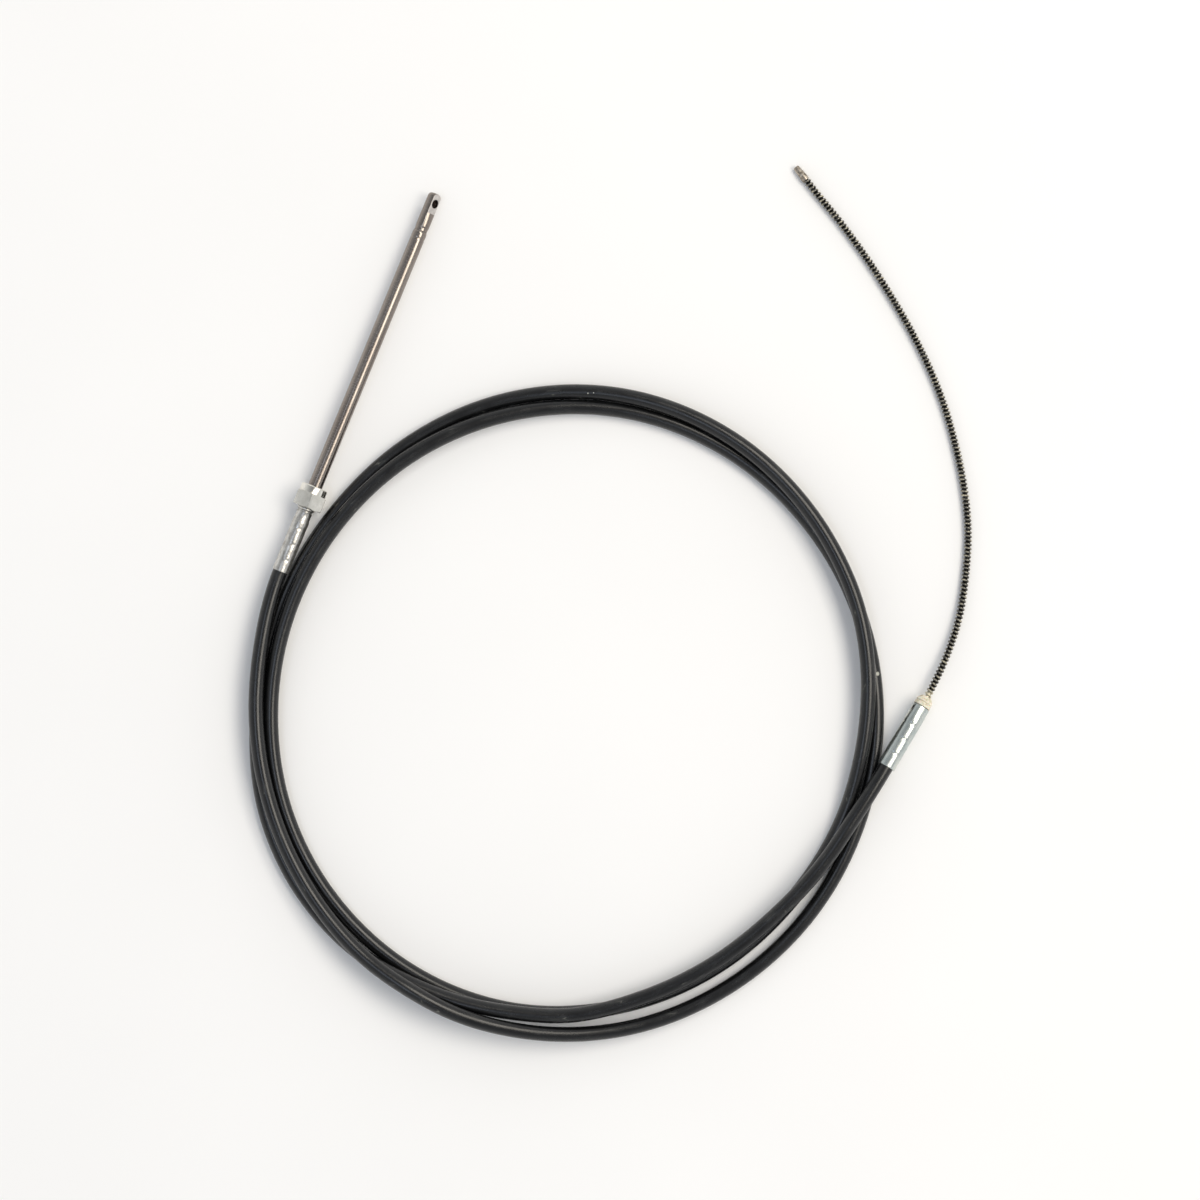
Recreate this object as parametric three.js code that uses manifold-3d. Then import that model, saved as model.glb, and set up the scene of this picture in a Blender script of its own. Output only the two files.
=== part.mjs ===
// Boat steering cable lying coiled on a level floor, seen from above with its ram to the upper left.
// Millimetres, +Z up, X to the right and Y up the picture, floor at Z = 0, origin under the middle of the box.
import * as THREE from 'three';
import Module from 'manifold-3d';
import { mergeVertices } from 'three/addons/utils/BufferGeometryUtils.js';

const wasm = await Module();
wasm.setup();

// Clearances
const seatGap = 0.3;
const runningGap = 0.35;
const neckGap = 0.5;
const edgeBreak = 0.6;

// Conduit jacket
const jacketDiameter = 16.4;
const jacketSides = 12;
const stepsPerTurn = 44;
const jacketSteps = 112;

// Output end, hub and coupler nut
const ramHeading = 67.7;
const ramDroop = 1.05;
const hubDiameter = 18.2;
const hubLength = 70;
const hubFirstCrimp = 13.6;
const crimpRings = 3;
const crimpPitch = 18.6;
const crimpHalfWidth = 1.6;
const crimpDepth = 0.5;
const hubWaistLength = 9;
const hubWaistDepth = 0.5;
const hubFlareLength = 3;
const collarDiameter = 19.4;
const collarLength = 3;
const collarTaper = 1.6;
const grooveWidth = 1.6;
const grooveDiameter = 16.2;
const neckDiameter = 13;
const flangeDiameter = 19.2;
const flangeThickness = 3.6;
const nutAcrossFlats = 31.75;
const nutHexLength = 16.8;
const nutRoundDiameter = 30;
const nutRoundLength = 8.2;
const nutWall = 4.2;
const nutBore = 20.6;
const nutTurn = 7;
const nutCornerChamfer = 1.6;
const noseChamfer = 1.2;
const mouthChamfer = 0.4;

// Output ram: a tube that slides over the guide tube, with a flattened rod end
const ramDiameter = 15.9;
const ramBore = 12.8;
const ramRollIn = 1.1;
const ramRollLength = 2.2;
const guideDiameter = 12;
const guideBore = 8;
const travel = 228.6;
const guideGrip = 64.4;
const guideRoom = 2;
const rodEndDiameter = 15.2;
const rodEndLength = 44.5;
const rodNeckLength = 4.5;
const rodNeckDiameter = 14.4;
const rodShankLength = 24;
const rodTipRounding = 4.2;
const rodTipSteps = 4;
const rodFlatLength = 23;
const rodFlatThickness = 9.5;
const rodFlatTilt = 36;
const rodEyeDiameter = 9.8;
const rodEyeFromTip = 11.2;

// Helm end, ferrule, plastic seal and helix core
const helmHeading = 59;
const helmDroop = 5.5;
const ferruleDiameter = 20.2;
const ferruleLength = 76.8;
const ferruleFirstCrimp = 16.6;
const ferruleRim = 1.2;
const sealDiameter = 19.2;
const sealStraight = 7;
const sealCone = 4.8;
const sealNoseDiameter = 12;
const coreDiameter = 8.8;
const coreSides = 10;
const coreSteps = 46;
const tipLength = 15;
const tipDiameter = 8.2;
const tipCollarLength = 4.5;
const tipEndDiameter = 5.6;
const tipSides = 16;

const roundSides = 24;
const coilCentre = new THREE.Vector2(-48.0, -118.3);
const jacketRadius = jacketDiameter / 2;

// The jacket's way round the coil: angle in degrees counter-clockwise from +X, distance from the coil's
// centre, and how far it is lifted off the floor where it passes over another turn.
const coilRoute = [
  [153.9, 349.0, 13.4], [160, 345.6, 15.1], [167, 342.0, 16.6], [180, 339.4, 17.2], [190, 339.0, 16.8],
  [200, 339.8, 15.5], [210, 341.5, 15.8], [220, 343.8, 18.2], [230, 346.2, 23.9], [240, 346.8, 30.7],
  [250, 349.8, 28], [260, 351.1, 21.9], [280, 352.4, 8.8], [300, 349.8, 1.6], [320, 346.2, 0],
  [340, 341.8, 0], [360, 339.6, 0], [380, 338.0, 0], [400, 336.5, 0], [420, 336.5, 0], [440, 335.7, 0],
  [460, 332.2, 5.9], [480, 328.5, 12.7], [500, 325.0, 14.3], [520, 323.3, 13.1], [540, 324.1, 8.5],
  [560, 327.6, 2.2], [580, 330.4, 0], [600, 332.6, 0], [620, 332.5, 0], [640, 328.5, 0],
  [660, 324.6, 0], [680, 321.7, 0], [700, 324.3, 3.7], [710, 325.2, 10.7], [720, 328.4, 13.9],
  [730, 333.1, 16], [740, 337.5, 17.3], [750, 340.5, 17.3], [760, 343.7, 16.2], [780, 349.4, 11.8],
  [800, 351.7, 5.9], [820, 348.6, 0], [840, 341.6, 0], [860, 334.9, 0], [880, 334.8, 0],
  [900, 339.5, 0], [920, 348.9, 0], [935, 351.4, 0], [950, 348.3, 5.9], [960, 342.3, 14.2],
  [970, 337.7, 16.5], [980, 333.3, 17.3], [990, 331.2, 17.4], [1005, 322.5, 17.1], [1020, 318.0, 16.8],
  [1035, 317.5, 17.3], [1050, 325.5, 17.7], [1060, 334.4, 18.2], [1070.3, 353.7, 15.3],
];

// The helix core's free length beyond the seal, from the coil's centre: across, up the picture, height.
const coreRoute = [
  [413.9, 55.8, 10.9], [429.2, 99.6, 7.3], [436.9, 143.4, 5.1], [440.2, 198.2, 4.6], [434.7, 252.9, 4.6],
  [419.4, 318.6, 4.6], [404.1, 362.4, 4.6], [383.8, 406.2, 4.6], [365.7, 439.1, 4.6], [332.9, 491.7, 4.6],
  [300.0, 537.1, 4.6], [276.0, 566.5, 4.6], [262.8, 583.2, 4.6],
];

function headingVector(heading, droop) {
  const turn = THREE.MathUtils.degToRad(heading);
  const dip = THREE.MathUtils.degToRad(droop);
  return new THREE.Vector3(Math.cos(turn) * Math.cos(dip), Math.sin(turn) * Math.cos(dip), -Math.sin(dip));
}

const ramAxis = headingVector(ramHeading, ramDroop);
const helmAxis = headingVector(helmHeading, helmDroop);

// Slopes of distance and lift per degree where the jacket leaves a fitting along the given direction.
function slopesAlong(row, travelDirection) {
  const angle = THREE.MathUtils.degToRad(row[0]);
  const outward = travelDirection.x * Math.cos(angle) + travelDirection.y * Math.sin(angle);
  const around = travelDirection.y * Math.cos(angle) - travelDirection.x * Math.sin(angle);
  const perDegree = THREE.MathUtils.degToRad(row[1]) / around;
  return [null, outward * perDegree, travelDirection.z * perDegree];
}

const slopesAtHub = slopesAlong(coilRoute[0], ramAxis.clone().negate());
const slopesAtHelm = slopesAlong(coilRoute[coilRoute.length - 1], helmAxis);

function slopeAtRow(index, column) {
  if (index === 0) {
    return slopesAtHub[column];
  }
  if (index === coilRoute.length - 1) {
    return slopesAtHelm[column];
  }
  const [before, here, after] = coilRoute.slice(index - 1, index + 2);
  const spanBefore = here[0] - before[0];
  const spanAfter = after[0] - here[0];
  const rateBefore = (here[column] - before[column]) / spanBefore;
  const rateAfter = (after[column] - here[column]) / spanAfter;
  return (rateBefore * spanAfter + rateAfter * spanBefore) / (spanBefore + spanAfter);
}

function routeValue(angle, column) {
  const last = coilRoute.length - 2;
  const next = coilRoute.findIndex((row) => row[0] > angle);
  const index = next < 0 ? last : Math.max(next - 1, 0);
  const span = coilRoute[index + 1][0] - coilRoute[index][0];
  const t = (angle - coilRoute[index][0]) / span;
  const from = coilRoute[index][column] * (2 * t ** 3 - 3 * t ** 2 + 1);
  const to = coilRoute[index + 1][column] * (3 * t ** 2 - 2 * t ** 3);
  const leaving = slopeAtRow(index, column) * span * (t ** 3 - 2 * t ** 2 + t);
  const arriving = slopeAtRow(index + 1, column) * span * (t ** 3 - t ** 2);
  return from + to + leaving + arriving;
}

// A curve around the coil with even steps of angle, so that the facets of neighbouring turns line up.
class CoilCurve extends THREE.Curve {
  getPoint(t, target = new THREE.Vector3()) {
    const sweep = jacketSteps * 360 / stepsPerTurn;
    const angle = coilRoute[0][0] + t * sweep;
    const radius = routeValue(angle, 1);
    const lift = Math.max(routeValue(angle, 2), 0);
    const turn = THREE.MathUtils.degToRad(angle);
    const x = coilCentre.x + radius * Math.cos(turn);
    const y = coilCentre.y + radius * Math.sin(turn);
    return target.set(x, y, jacketRadius + lift);
  }

  getUtoTmapping(u) {
    return u;
  }
}

const coilCurve = new CoilCurve();

function roundSection(diameter, sides) {
  const points = [];
  for (let i = 0; i < sides; i += 1) {
    const angle = 2 * Math.PI * i / sides;
    points.push(new THREE.Vector2(diameter / 2 * Math.cos(angle), diameter / 2 * Math.sin(angle)));
  }
  return new THREE.Shape(points);
}

function sweptTube(diameter, sides, curve, steps) {
  return new THREE.ExtrudeGeometry(roundSection(diameter, sides), { steps, extrudePath: curve, bevelEnabled: false });
}

function turned(profile, sides = roundSides) {
  return new THREE.LatheGeometry(profile.map(([radius, along]) => new THREE.Vector2(radius, along)), sides);
}

function solidOf(geometry) {
  const bare = geometry.clone();
  bare.deleteAttribute('normal');
  bare.deleteAttribute('uv');
  const merged = mergeVertices(bare, 1e-4);
  const vertProperties = new Float32Array(merged.attributes.position.array);
  const triVerts = new Uint32Array(merged.index.array);
  return new wasm.Manifold(new wasm.Mesh({ numProp: 3, vertProperties, triVerts }));
}

function geometryOf(solid) {
  const mesh = solid.getMesh();
  const geometry = new THREE.BufferGeometry();
  geometry.setAttribute('position', new THREE.BufferAttribute(new Float32Array(mesh.vertProperties), 3));
  geometry.setIndex(new THREE.BufferAttribute(new Uint32Array(mesh.triVerts), 1));
  geometry.computeVertexNormals();
  return geometry;
}

function piece(name, geometry, look) {
  const mesh = new THREE.Mesh(geometry, new THREE.MeshStandardMaterial(look));
  mesh.name = name;
  return mesh;
}

// A group whose Y runs along a fitting's axis, with its Z as near upright as the axis allows.
function fittingGroup(start, axis) {
  const group = new THREE.Group();
  const across = new THREE.Vector3().crossVectors(axis, new THREE.Vector3(0, 0, 1)).normalize();
  const up = new THREE.Vector3().crossVectors(across, axis);
  group.quaternion.setFromRotationMatrix(new THREE.Matrix4().makeBasis(across, axis, up));
  group.position.copy(start);
  return group;
}

const zinc = { color: 0xb9bdbf, roughness: 0.32, metalness: 1 };
const stainless = { color: 0x9c948c, roughness: 0.22, metalness: 1 };
const nutSteel = { color: 0xc9c5bb, roughness: 0.3, metalness: 1 };
const blackPlastic = { color: 0x17181a, roughness: 0.45, metalness: 0 };
const ivoryPlastic = { color: 0xe4dcc4, roughness: 0.5, metalness: 0 };
const oiledSteel = { color: 0x4a4a48, roughness: 0.4, metalness: 1 };

// Rings pressed into a crimped sleeve, each a shallow trough at an even pitch.
function crimpProfile(radius, firstCrimp) {
  const points = [];
  for (let i = 0; i < crimpRings; i += 1) {
    const middle = firstCrimp + i * crimpPitch;
    points.push([radius, middle - crimpHalfWidth]);
    points.push([radius - crimpDepth, middle - crimpHalfWidth / 2]);
    points.push([radius - crimpDepth, middle + crimpHalfWidth / 2]);
    points.push([radius, middle + crimpHalfWidth]);
  }
  return points;
}

// Places along the output end, from the jacket's end face
const hubStart = seatGap;
const grooveStart = hubStart + hubLength;
const collarStart = grooveStart + grooveWidth;
const collarEnd = collarStart + collarLength;
const nutStart = collarEnd + neckGap;
const flangeStart = nutStart + nutWall + neckGap;
const flangeEnd = flangeStart + flangeThickness;
const nutHexEnd = nutStart + nutHexLength;
const nutEnd = nutHexEnd + nutRoundLength;
const ramStart = flangeEnd + seatGap;
const guideEnd = ramStart + travel + guideGrip;
const ramEnd = guideEnd + guideRoom + rodShankLength;
const rodTip = ramEnd + rodEndLength;

function outputHub() {
  const radius = hubDiameter / 2;
  const waist = radius - hubWaistDepth;
  const waistEnd = grooveStart - hubFlareLength;
  const waistStart = waistEnd - hubWaistLength;
  const profile = [
    [0, hubStart],
    [radius - edgeBreak, hubStart],
    [radius, hubStart + edgeBreak],
  ];
  for (const [r, along] of crimpProfile(radius, hubFirstCrimp)) {
    profile.push([r, hubStart + along]);
  }
  profile.push([radius, waistStart], [waist, waistStart + hubFlareLength], [waist, waistEnd]);
  profile.push([radius, grooveStart - edgeBreak], [radius, grooveStart]);
  profile.push([grooveDiameter / 2, grooveStart], [grooveDiameter / 2, collarStart]);
  profile.push([collarDiameter / 2, collarStart + collarTaper], [collarDiameter / 2, collarEnd]);
  profile.push([neckDiameter / 2, collarEnd], [neckDiameter / 2, flangeStart]);
  profile.push([flangeDiameter / 2, flangeStart], [flangeDiameter / 2, flangeEnd], [0, flangeEnd]);
  return piece('output_hub', turned(profile), zinc);
}

function hexPrism(acrossFlats, from, to) {
  const corner = acrossFlats / Math.sqrt(3);
  const geometry = new THREE.CylinderGeometry(corner, corner, to - from, 6);
  geometry.translate(0, (from + to) / 2, 0);
  return geometry;
}

// The coupler nut: a hexagon with chamfered corners, a round nose, and a stepped bore.
function couplerNut() {
  const corner = nutAcrossFlats / Math.sqrt(3);
  const flat = nutAcrossFlats / 2;
  const clear = corner + edgeBreak;
  const hexagon = solidOf(hexPrism(nutAcrossFlats, nutStart, nutHexEnd));
  const rounding = solidOf(turned([
    [0, nutStart],
    [flat, nutStart],
    [clear, nutStart + nutCornerChamfer],
    [clear, nutHexEnd - nutCornerChamfer],
    [flat, nutHexEnd],
    [0, nutHexEnd],
  ]));
  const noseRadius = nutRoundDiameter / 2;
  const nose = solidOf(turned([
    [0, nutHexEnd - nutWall],
    [noseRadius, nutHexEnd - nutWall],
    [noseRadius, nutEnd - noseChamfer],
    [noseRadius - noseChamfer, nutEnd],
    [0, nutEnd],
  ]));
  const neckHole = neckDiameter / 2 + neckGap;
  const overrun = nutWall;
  const bore = solidOf(turned([
    [0, nutStart - overrun],
    [neckHole, nutStart - overrun],
    [neckHole, nutStart + nutWall],
    [nutBore / 2, nutStart + nutWall],
    [nutBore / 2, nutEnd - mouthChamfer],
    [nutBore / 2 + mouthChamfer + overrun, nutEnd + overrun],
    [0, nutEnd + overrun],
  ]));
  const geometry = geometryOf(hexagon.intersect(rounding).add(nose).subtract(bore));
  geometry.rotateY(THREE.MathUtils.degToRad(nutTurn));
  return piece('coupler_nut', geometry, nutSteel);
}

function guideTube() {
  const profile = [
    [guideBore / 2, ramStart],
    [guideDiameter / 2, ramStart],
    [guideDiameter / 2, guideEnd],
    [guideBore / 2, guideEnd],
    [guideBore / 2, ramStart],
  ];
  return piece('guide_tube', turned(profile), stainless);
}

function ramTube() {
  const outer = ramDiameter / 2;
  const inner = ramBore / 2;
  const profile = [
    [inner, ramStart],
    [outer - edgeBreak, ramStart],
    [outer, ramStart + edgeBreak],
    [outer, ramEnd - ramRollLength],
    [outer - ramRollIn, ramEnd],
    [inner, ramEnd],
    [inner, ramStart],
  ];
  return piece('output_ram_tube', turned(profile), stainless);
}

// The rod end: a turned plug in the ram's end, flattened on both sides, with a cross eye for the link rod.
function ramRodEnd() {
  const radius = rodEndDiameter / 2;
  const shank = ramBore / 2 - runningGap;
  const neckStart = ramEnd + seatGap;
  const profile = [
    [0, ramEnd - rodShankLength],
    [shank, ramEnd - rodShankLength],
    [shank, neckStart],
    [rodNeckDiameter / 2, neckStart],
    [rodNeckDiameter / 2, neckStart + rodNeckLength - edgeBreak],
    [radius, neckStart + rodNeckLength],
  ];
  for (let i = 0; i <= rodTipSteps; i += 1) {
    const turn = Math.PI / 2 * i / rodTipSteps;
    const inward = rodTipRounding * (1 - Math.cos(turn));
    profile.push([radius - inward, rodTip - rodTipRounding * (1 - Math.sin(turn))]);
  }
  profile.push([0, rodTip]);
  const blank = solidOf(turned(profile));
  const cutDepth = radius;
  const cutLength = 2 * rodFlatLength;
  const flats = [-1, 1].map((side) => {
    const block = new THREE.BoxGeometry(cutDepth, cutLength, 3 * radius);
    block.translate(side * (rodFlatThickness + cutDepth) / 2, rodTip - rodFlatLength + cutLength / 2, 0);
    return solidOf(block);
  });
  const drill = new THREE.CylinderGeometry(rodEyeDiameter / 2, rodEyeDiameter / 2, 3 * radius, roundSides);
  drill.rotateZ(Math.PI / 2);
  drill.translate(0, rodTip - rodEyeFromTip, 0);
  const geometry = geometryOf(blank.subtract(flats[0]).subtract(flats[1]).subtract(solidOf(drill)));
  geometry.rotateY(-THREE.MathUtils.degToRad(rodFlatTilt));
  return piece('ram_rod_end', geometry, stainless);
}

function conduitJacket() {
  return piece('conduit_jacket', sweptTube(jacketDiameter, jacketSides, coilCurve, jacketSteps), blackPlastic);
}

// Places along the helm end, from the jacket's other end face
const ferruleStart = seatGap;
const ferruleEnd = ferruleStart + ferruleLength;
const sealStart = ferruleEnd + seatGap;
const sealEnd = sealStart + sealStraight + sealCone;

function helmFerrule() {
  const radius = ferruleDiameter / 2;
  const profile = [
    [0, ferruleStart],
    [radius - edgeBreak, ferruleStart],
    [radius, ferruleStart + edgeBreak],
  ];
  for (const [r, along] of crimpProfile(radius, ferruleFirstCrimp)) {
    profile.push([r, ferruleStart + along]);
  }
  profile.push([radius, ferruleEnd - ferruleRim], [radius - ferruleRim, ferruleEnd], [0, ferruleEnd]);
  return piece('helm_end_ferrule', turned(profile), zinc);
}

function helmSeal() {
  const bore = coreDiameter / 2 + runningGap;
  const radius = sealDiameter / 2;
  const shoulder = sealStart + sealStraight;
  const profile = [
    [bore, sealStart],
    [radius, sealStart],
    [radius, shoulder - edgeBreak],
    [radius - edgeBreak, shoulder],
    [sealNoseDiameter / 2, sealEnd],
    [bore, sealEnd],
    [bore, sealStart],
  ];
  return piece('helm_end_seal', turned(profile), ivoryPlastic);
}

function corePath(helmStart) {
  const straight = [sealStart, (sealStart + sealEnd) / 2, sealEnd];
  const points = straight.map((along) => helmStart.clone().addScaledVector(helmAxis, along));
  for (const [across, up, height] of coreRoute) {
    points.push(new THREE.Vector3(coilCentre.x + across, coilCentre.y + up, height));
  }
  return new THREE.CatmullRomCurve3(points, false, 'centripetal');
}

function helixCore(path) {
  return piece('helix_core', sweptTube(coreDiameter, coreSides, path, coreSteps), oiledSteel);
}

function coreTip() {
  const end = seatGap + tipLength;
  const profile = [
    [0, seatGap],
    [tipDiameter / 2, seatGap],
    [tipDiameter / 2, seatGap + tipCollarLength],
    [tipEndDiameter / 2, end - edgeBreak],
    [tipEndDiameter / 2 - edgeBreak, end],
    [0, end],
  ];
  return piece('core_end_tip', turned(profile, tipSides), oiledSteel);
}

const hubOrigin = coilCurve.getPoint(0);
const helmOrigin = coilCurve.getPoint(1);

const outputEnd = fittingGroup(hubOrigin, ramAxis);
outputEnd.add(outputHub(), couplerNut(), guideTube(), ramTube(), ramRodEnd());

const helmEnd = fittingGroup(helmOrigin, helmAxis);
helmEnd.add(helmFerrule(), helmSeal());

const core = corePath(helmOrigin);
const coreEnd = fittingGroup(core.getPoint(1), core.getTangent(1));
coreEnd.add(coreTip());

const steeringCable = new THREE.Group();
steeringCable.add(conduitJacket(), outputEnd, helmEnd, helixCore(core), coreEnd);

export default steeringCable;
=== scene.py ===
import math

import bpy
from mathutils import Matrix, Vector


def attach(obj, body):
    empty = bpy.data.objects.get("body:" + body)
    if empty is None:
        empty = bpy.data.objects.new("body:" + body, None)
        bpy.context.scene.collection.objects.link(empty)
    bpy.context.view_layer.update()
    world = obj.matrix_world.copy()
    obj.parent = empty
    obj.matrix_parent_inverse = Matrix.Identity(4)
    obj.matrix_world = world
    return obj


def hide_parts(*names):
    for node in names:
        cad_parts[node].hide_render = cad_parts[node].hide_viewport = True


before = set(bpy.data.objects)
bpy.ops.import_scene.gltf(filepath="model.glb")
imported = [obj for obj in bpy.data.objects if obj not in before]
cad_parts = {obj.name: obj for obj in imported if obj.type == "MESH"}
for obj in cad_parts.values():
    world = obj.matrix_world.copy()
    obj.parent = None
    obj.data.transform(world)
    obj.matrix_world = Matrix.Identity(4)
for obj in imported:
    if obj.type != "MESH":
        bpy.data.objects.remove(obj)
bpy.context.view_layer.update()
print("frame loaded:", len(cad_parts), "nodes")


def hexToLinear(code):
    channels = [int(code[i:i + 2], 16) / 255 for i in (1, 3, 5)]
    linear = [c / 12.92 if c <= 0.04045 else ((c + 0.055) / 1.055) ** 2.4 for c in channels]
    return (*linear, 1)


def addNode(tree, kind, settings=None, links=None):
    node = tree.nodes.new(kind)
    for name, value in (settings or {}).items():
        if name == "stops":
            elements = node.color_ramp.elements
            while len(elements) < len(value):
                elements.new(0.5)
            for element, (position, code) in zip(elements, value):
                element.position = position
                element.color = hexToLinear(code)
        elif isinstance(name, int) or name in node.inputs:
            node.inputs[name].default_value = value
        else:
            setattr(node, name, value)
    for name, source in (links or {}).items():
        tree.links.new(source, node.inputs[name])
    return node


def newMaterial(name):
    material = bpy.data.materials.new(name)
    material.use_nodes = True
    material.node_tree.nodes.clear()
    return material, material.node_tree


def selectOnly(piece):
    bpy.ops.object.select_all(action="DESELECT")
    piece.select_set(True)
    bpy.context.view_layer.objects.active = piece


def pickVertices(piece, test):
    bpy.ops.object.mode_set(mode="EDIT")
    bpy.ops.mesh.select_mode(type="VERT")
    bpy.ops.mesh.select_all(action="DESELECT")
    bpy.ops.object.mode_set(mode="OBJECT")
    for vertex in piece.data.vertices:
        vertex.select = test(piece.matrix_world @ vertex.co)
    bpy.ops.object.mode_set(mode="EDIT")


# Rings of the profile are extruded one after another along Z; hollow profiles end on their first ring
def turnPiece(name, profile, sides=64, hollow=False):
    bpy.ops.object.select_all(action="DESELECT")
    radius, along = profile[0]
    fill = "NOTHING" if hollow else "NGON"
    bpy.ops.mesh.primitive_circle_add(vertices=sides, radius=radius, fill_type=fill, location=(0, 0, along))
    piece = bpy.context.active_object
    piece.name = name
    bpy.ops.object.mode_set(mode="EDIT")
    bpy.ops.mesh.select_all(action="SELECT")
    for nextRadius, nextAlong in profile[1:]:
        bpy.ops.mesh.extrude_region_move(TRANSFORM_OT_translate={"value": (0, 0, nextAlong - along)})
        scale = nextRadius / radius
        if abs(scale - 1) > 1e-6:
            bpy.ops.transform.resize(value=(scale, scale, 1), center_override=(0, 0, nextAlong))
        radius, along = nextRadius, nextAlong
    bpy.ops.mesh.select_all(action="SELECT")
    if hollow:
        bpy.ops.mesh.remove_doubles(threshold=1e-6)
    bpy.ops.mesh.normals_make_consistent(inside=False)
    bpy.ops.object.mode_set(mode="OBJECT")
    bpy.ops.object.transform_apply(location=True, rotation=True, scale=True)
    return piece


def applyBoolean(piece, tool, operation):
    selectOnly(piece)
    cut = piece.modifiers.new("cut", "BOOLEAN")
    cut.operation = operation
    cut.object = tool
    cut.solver = "EXACT"
    bpy.ops.object.modifier_apply(modifier=cut.name)
    bpy.data.objects.remove(tool)


def bevelEdges(piece, width, segments, angle, joinFlat=True):
    selectOnly(piece)
    bpy.ops.object.mode_set(mode="EDIT")
    bpy.ops.mesh.select_all(action="SELECT")
    bpy.ops.mesh.remove_doubles(threshold=2e-5)
    if joinFlat:
        bpy.ops.mesh.dissolve_limited(angle_limit=math.radians(0.5))
    bpy.ops.object.mode_set(mode="OBJECT")
    bevel = piece.modifiers.new("bevel", "BEVEL")
    bevel.width = width
    bevel.segments = segments
    bevel.limit_method = "ANGLE"
    bevel.angle_limit = math.radians(angle)
    bpy.ops.object.modifier_apply(modifier=bevel.name)


# The object's own place along its fitting is kept in the grain attribute before it is laid in the scene
def layPiece(piece, place, smoothAngle=32):
    selectOnly(piece)
    bpy.ops.object.transform_apply(location=True, rotation=True, scale=True)
    grain = piece.data.attributes.new("grain", "FLOAT_VECTOR", "POINT")
    for vertex, item in zip(piece.data.vertices, grain.data):
        item.vector = vertex.co
    bpy.ops.object.shade_smooth_by_angle(angle=math.radians(smoothAngle))
    piece.matrix_world = place
    bpy.ops.object.transform_apply(location=True, rotation=True, scale=True)


def settle(piece, material, body, node):
    piece.data.materials.clear()
    piece.data.materials.append(material)
    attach(piece, body)
    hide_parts(node)
    print("  ", piece.name, len(piece.data.polygons), "faces")


# The cable's way, repeated from the part's source in metres: it sweeps 112 steps of 44 in a turn
cable = {
    "diameter": 0.0164,
    "sides": 30,
    "stepDegrees": 1.0,
    "sweepDegrees": 112 * 360 / 44,
    "centre": Vector((-0.0480, -0.1183, 0)),
    "intoFitting": 0.006,
}

# angle in degrees, distance from the coil's centre, lift off the floor
coilRoute = [
    (153.9, 0.3490, 0.0134), (160, 0.3456, 0.0151), (167, 0.3420, 0.0166), (180, 0.3394, 0.0172),
    (190, 0.3390, 0.0168), (200, 0.3398, 0.0155), (210, 0.3415, 0.0158), (220, 0.3438, 0.0182),
    (230, 0.3462, 0.0239), (240, 0.3468, 0.0307), (250, 0.3498, 0.0280), (260, 0.3511, 0.0219),
    (280, 0.3524, 0.0088), (300, 0.3498, 0.0016), (320, 0.3462, 0.0000), (340, 0.3418, 0.0000),
    (360, 0.3396, 0.0000), (380, 0.3380, 0.0000), (400, 0.3365, 0.0000), (420, 0.3365, 0.0000),
    (440, 0.3357, 0.0000), (460, 0.3322, 0.0059), (480, 0.3285, 0.0127), (500, 0.3250, 0.0143),
    (520, 0.3233, 0.0131), (540, 0.3241, 0.0085), (560, 0.3276, 0.0022), (580, 0.3304, 0.0000),
    (600, 0.3326, 0.0000), (620, 0.3325, 0.0000), (640, 0.3285, 0.0000), (660, 0.3246, 0.0000),
    (680, 0.3217, 0.0000), (700, 0.3243, 0.0037), (710, 0.3252, 0.0107), (720, 0.3284, 0.0139),
    (730, 0.3331, 0.0160), (740, 0.3375, 0.0173), (750, 0.3405, 0.0173), (760, 0.3437, 0.0162),
    (780, 0.3494, 0.0118), (800, 0.3517, 0.0059), (820, 0.3486, 0.0000), (840, 0.3416, 0.0000),
    (860, 0.3349, 0.0000), (880, 0.3348, 0.0000), (900, 0.3395, 0.0000), (920, 0.3489, 0.0000),
    (935, 0.3514, 0.0000), (950, 0.3483, 0.0059), (960, 0.3423, 0.0142), (970, 0.3377, 0.0165),
    (980, 0.3333, 0.0173), (990, 0.3312, 0.0174), (1005, 0.3225, 0.0171), (1020, 0.3180, 0.0168),
    (1035, 0.3175, 0.0173), (1050, 0.3255, 0.0177), (1060, 0.3344, 0.0182), (1070.3, 0.3537, 0.0153),
]

# across, up and height of the free helix core, from the coil's centre
coreRoute = [
    (0.4139, 0.0558, 0.0109), (0.4292, 0.0996, 0.0073), (0.4369, 0.1434, 0.0051),
    (0.4402, 0.1982, 0.0046), (0.4347, 0.2529, 0.0046), (0.4194, 0.3186, 0.0046),
    (0.4041, 0.3624, 0.0046), (0.3838, 0.4062, 0.0046), (0.3657, 0.4391, 0.0046),
    (0.3329, 0.4917, 0.0046), (0.3000, 0.5371, 0.0046), (0.2760, 0.5665, 0.0046),
    (0.2628, 0.5832, 0.0046),
]


def headingVector(heading, droop):
    turn = math.radians(heading)
    dip = math.radians(droop)
    return Vector((math.cos(turn) * math.cos(dip), math.sin(turn) * math.cos(dip), -math.sin(dip)))


ramAxis = headingVector(67.7, 1.05)
helmAxis = headingVector(59, 5.5)


def slopesAlong(row, direction):
    angle = math.radians(row[0])
    outward = direction.x * math.cos(angle) + direction.y * math.sin(angle)
    around = direction.y * math.cos(angle) - direction.x * math.sin(angle)
    perDegree = math.radians(row[1]) / around
    return [None, outward * perDegree, direction.z * perDegree]


endSlopes = {
    0: slopesAlong(coilRoute[0], -ramAxis),
    len(coilRoute) - 1: slopesAlong(coilRoute[-1], helmAxis),
}


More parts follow.
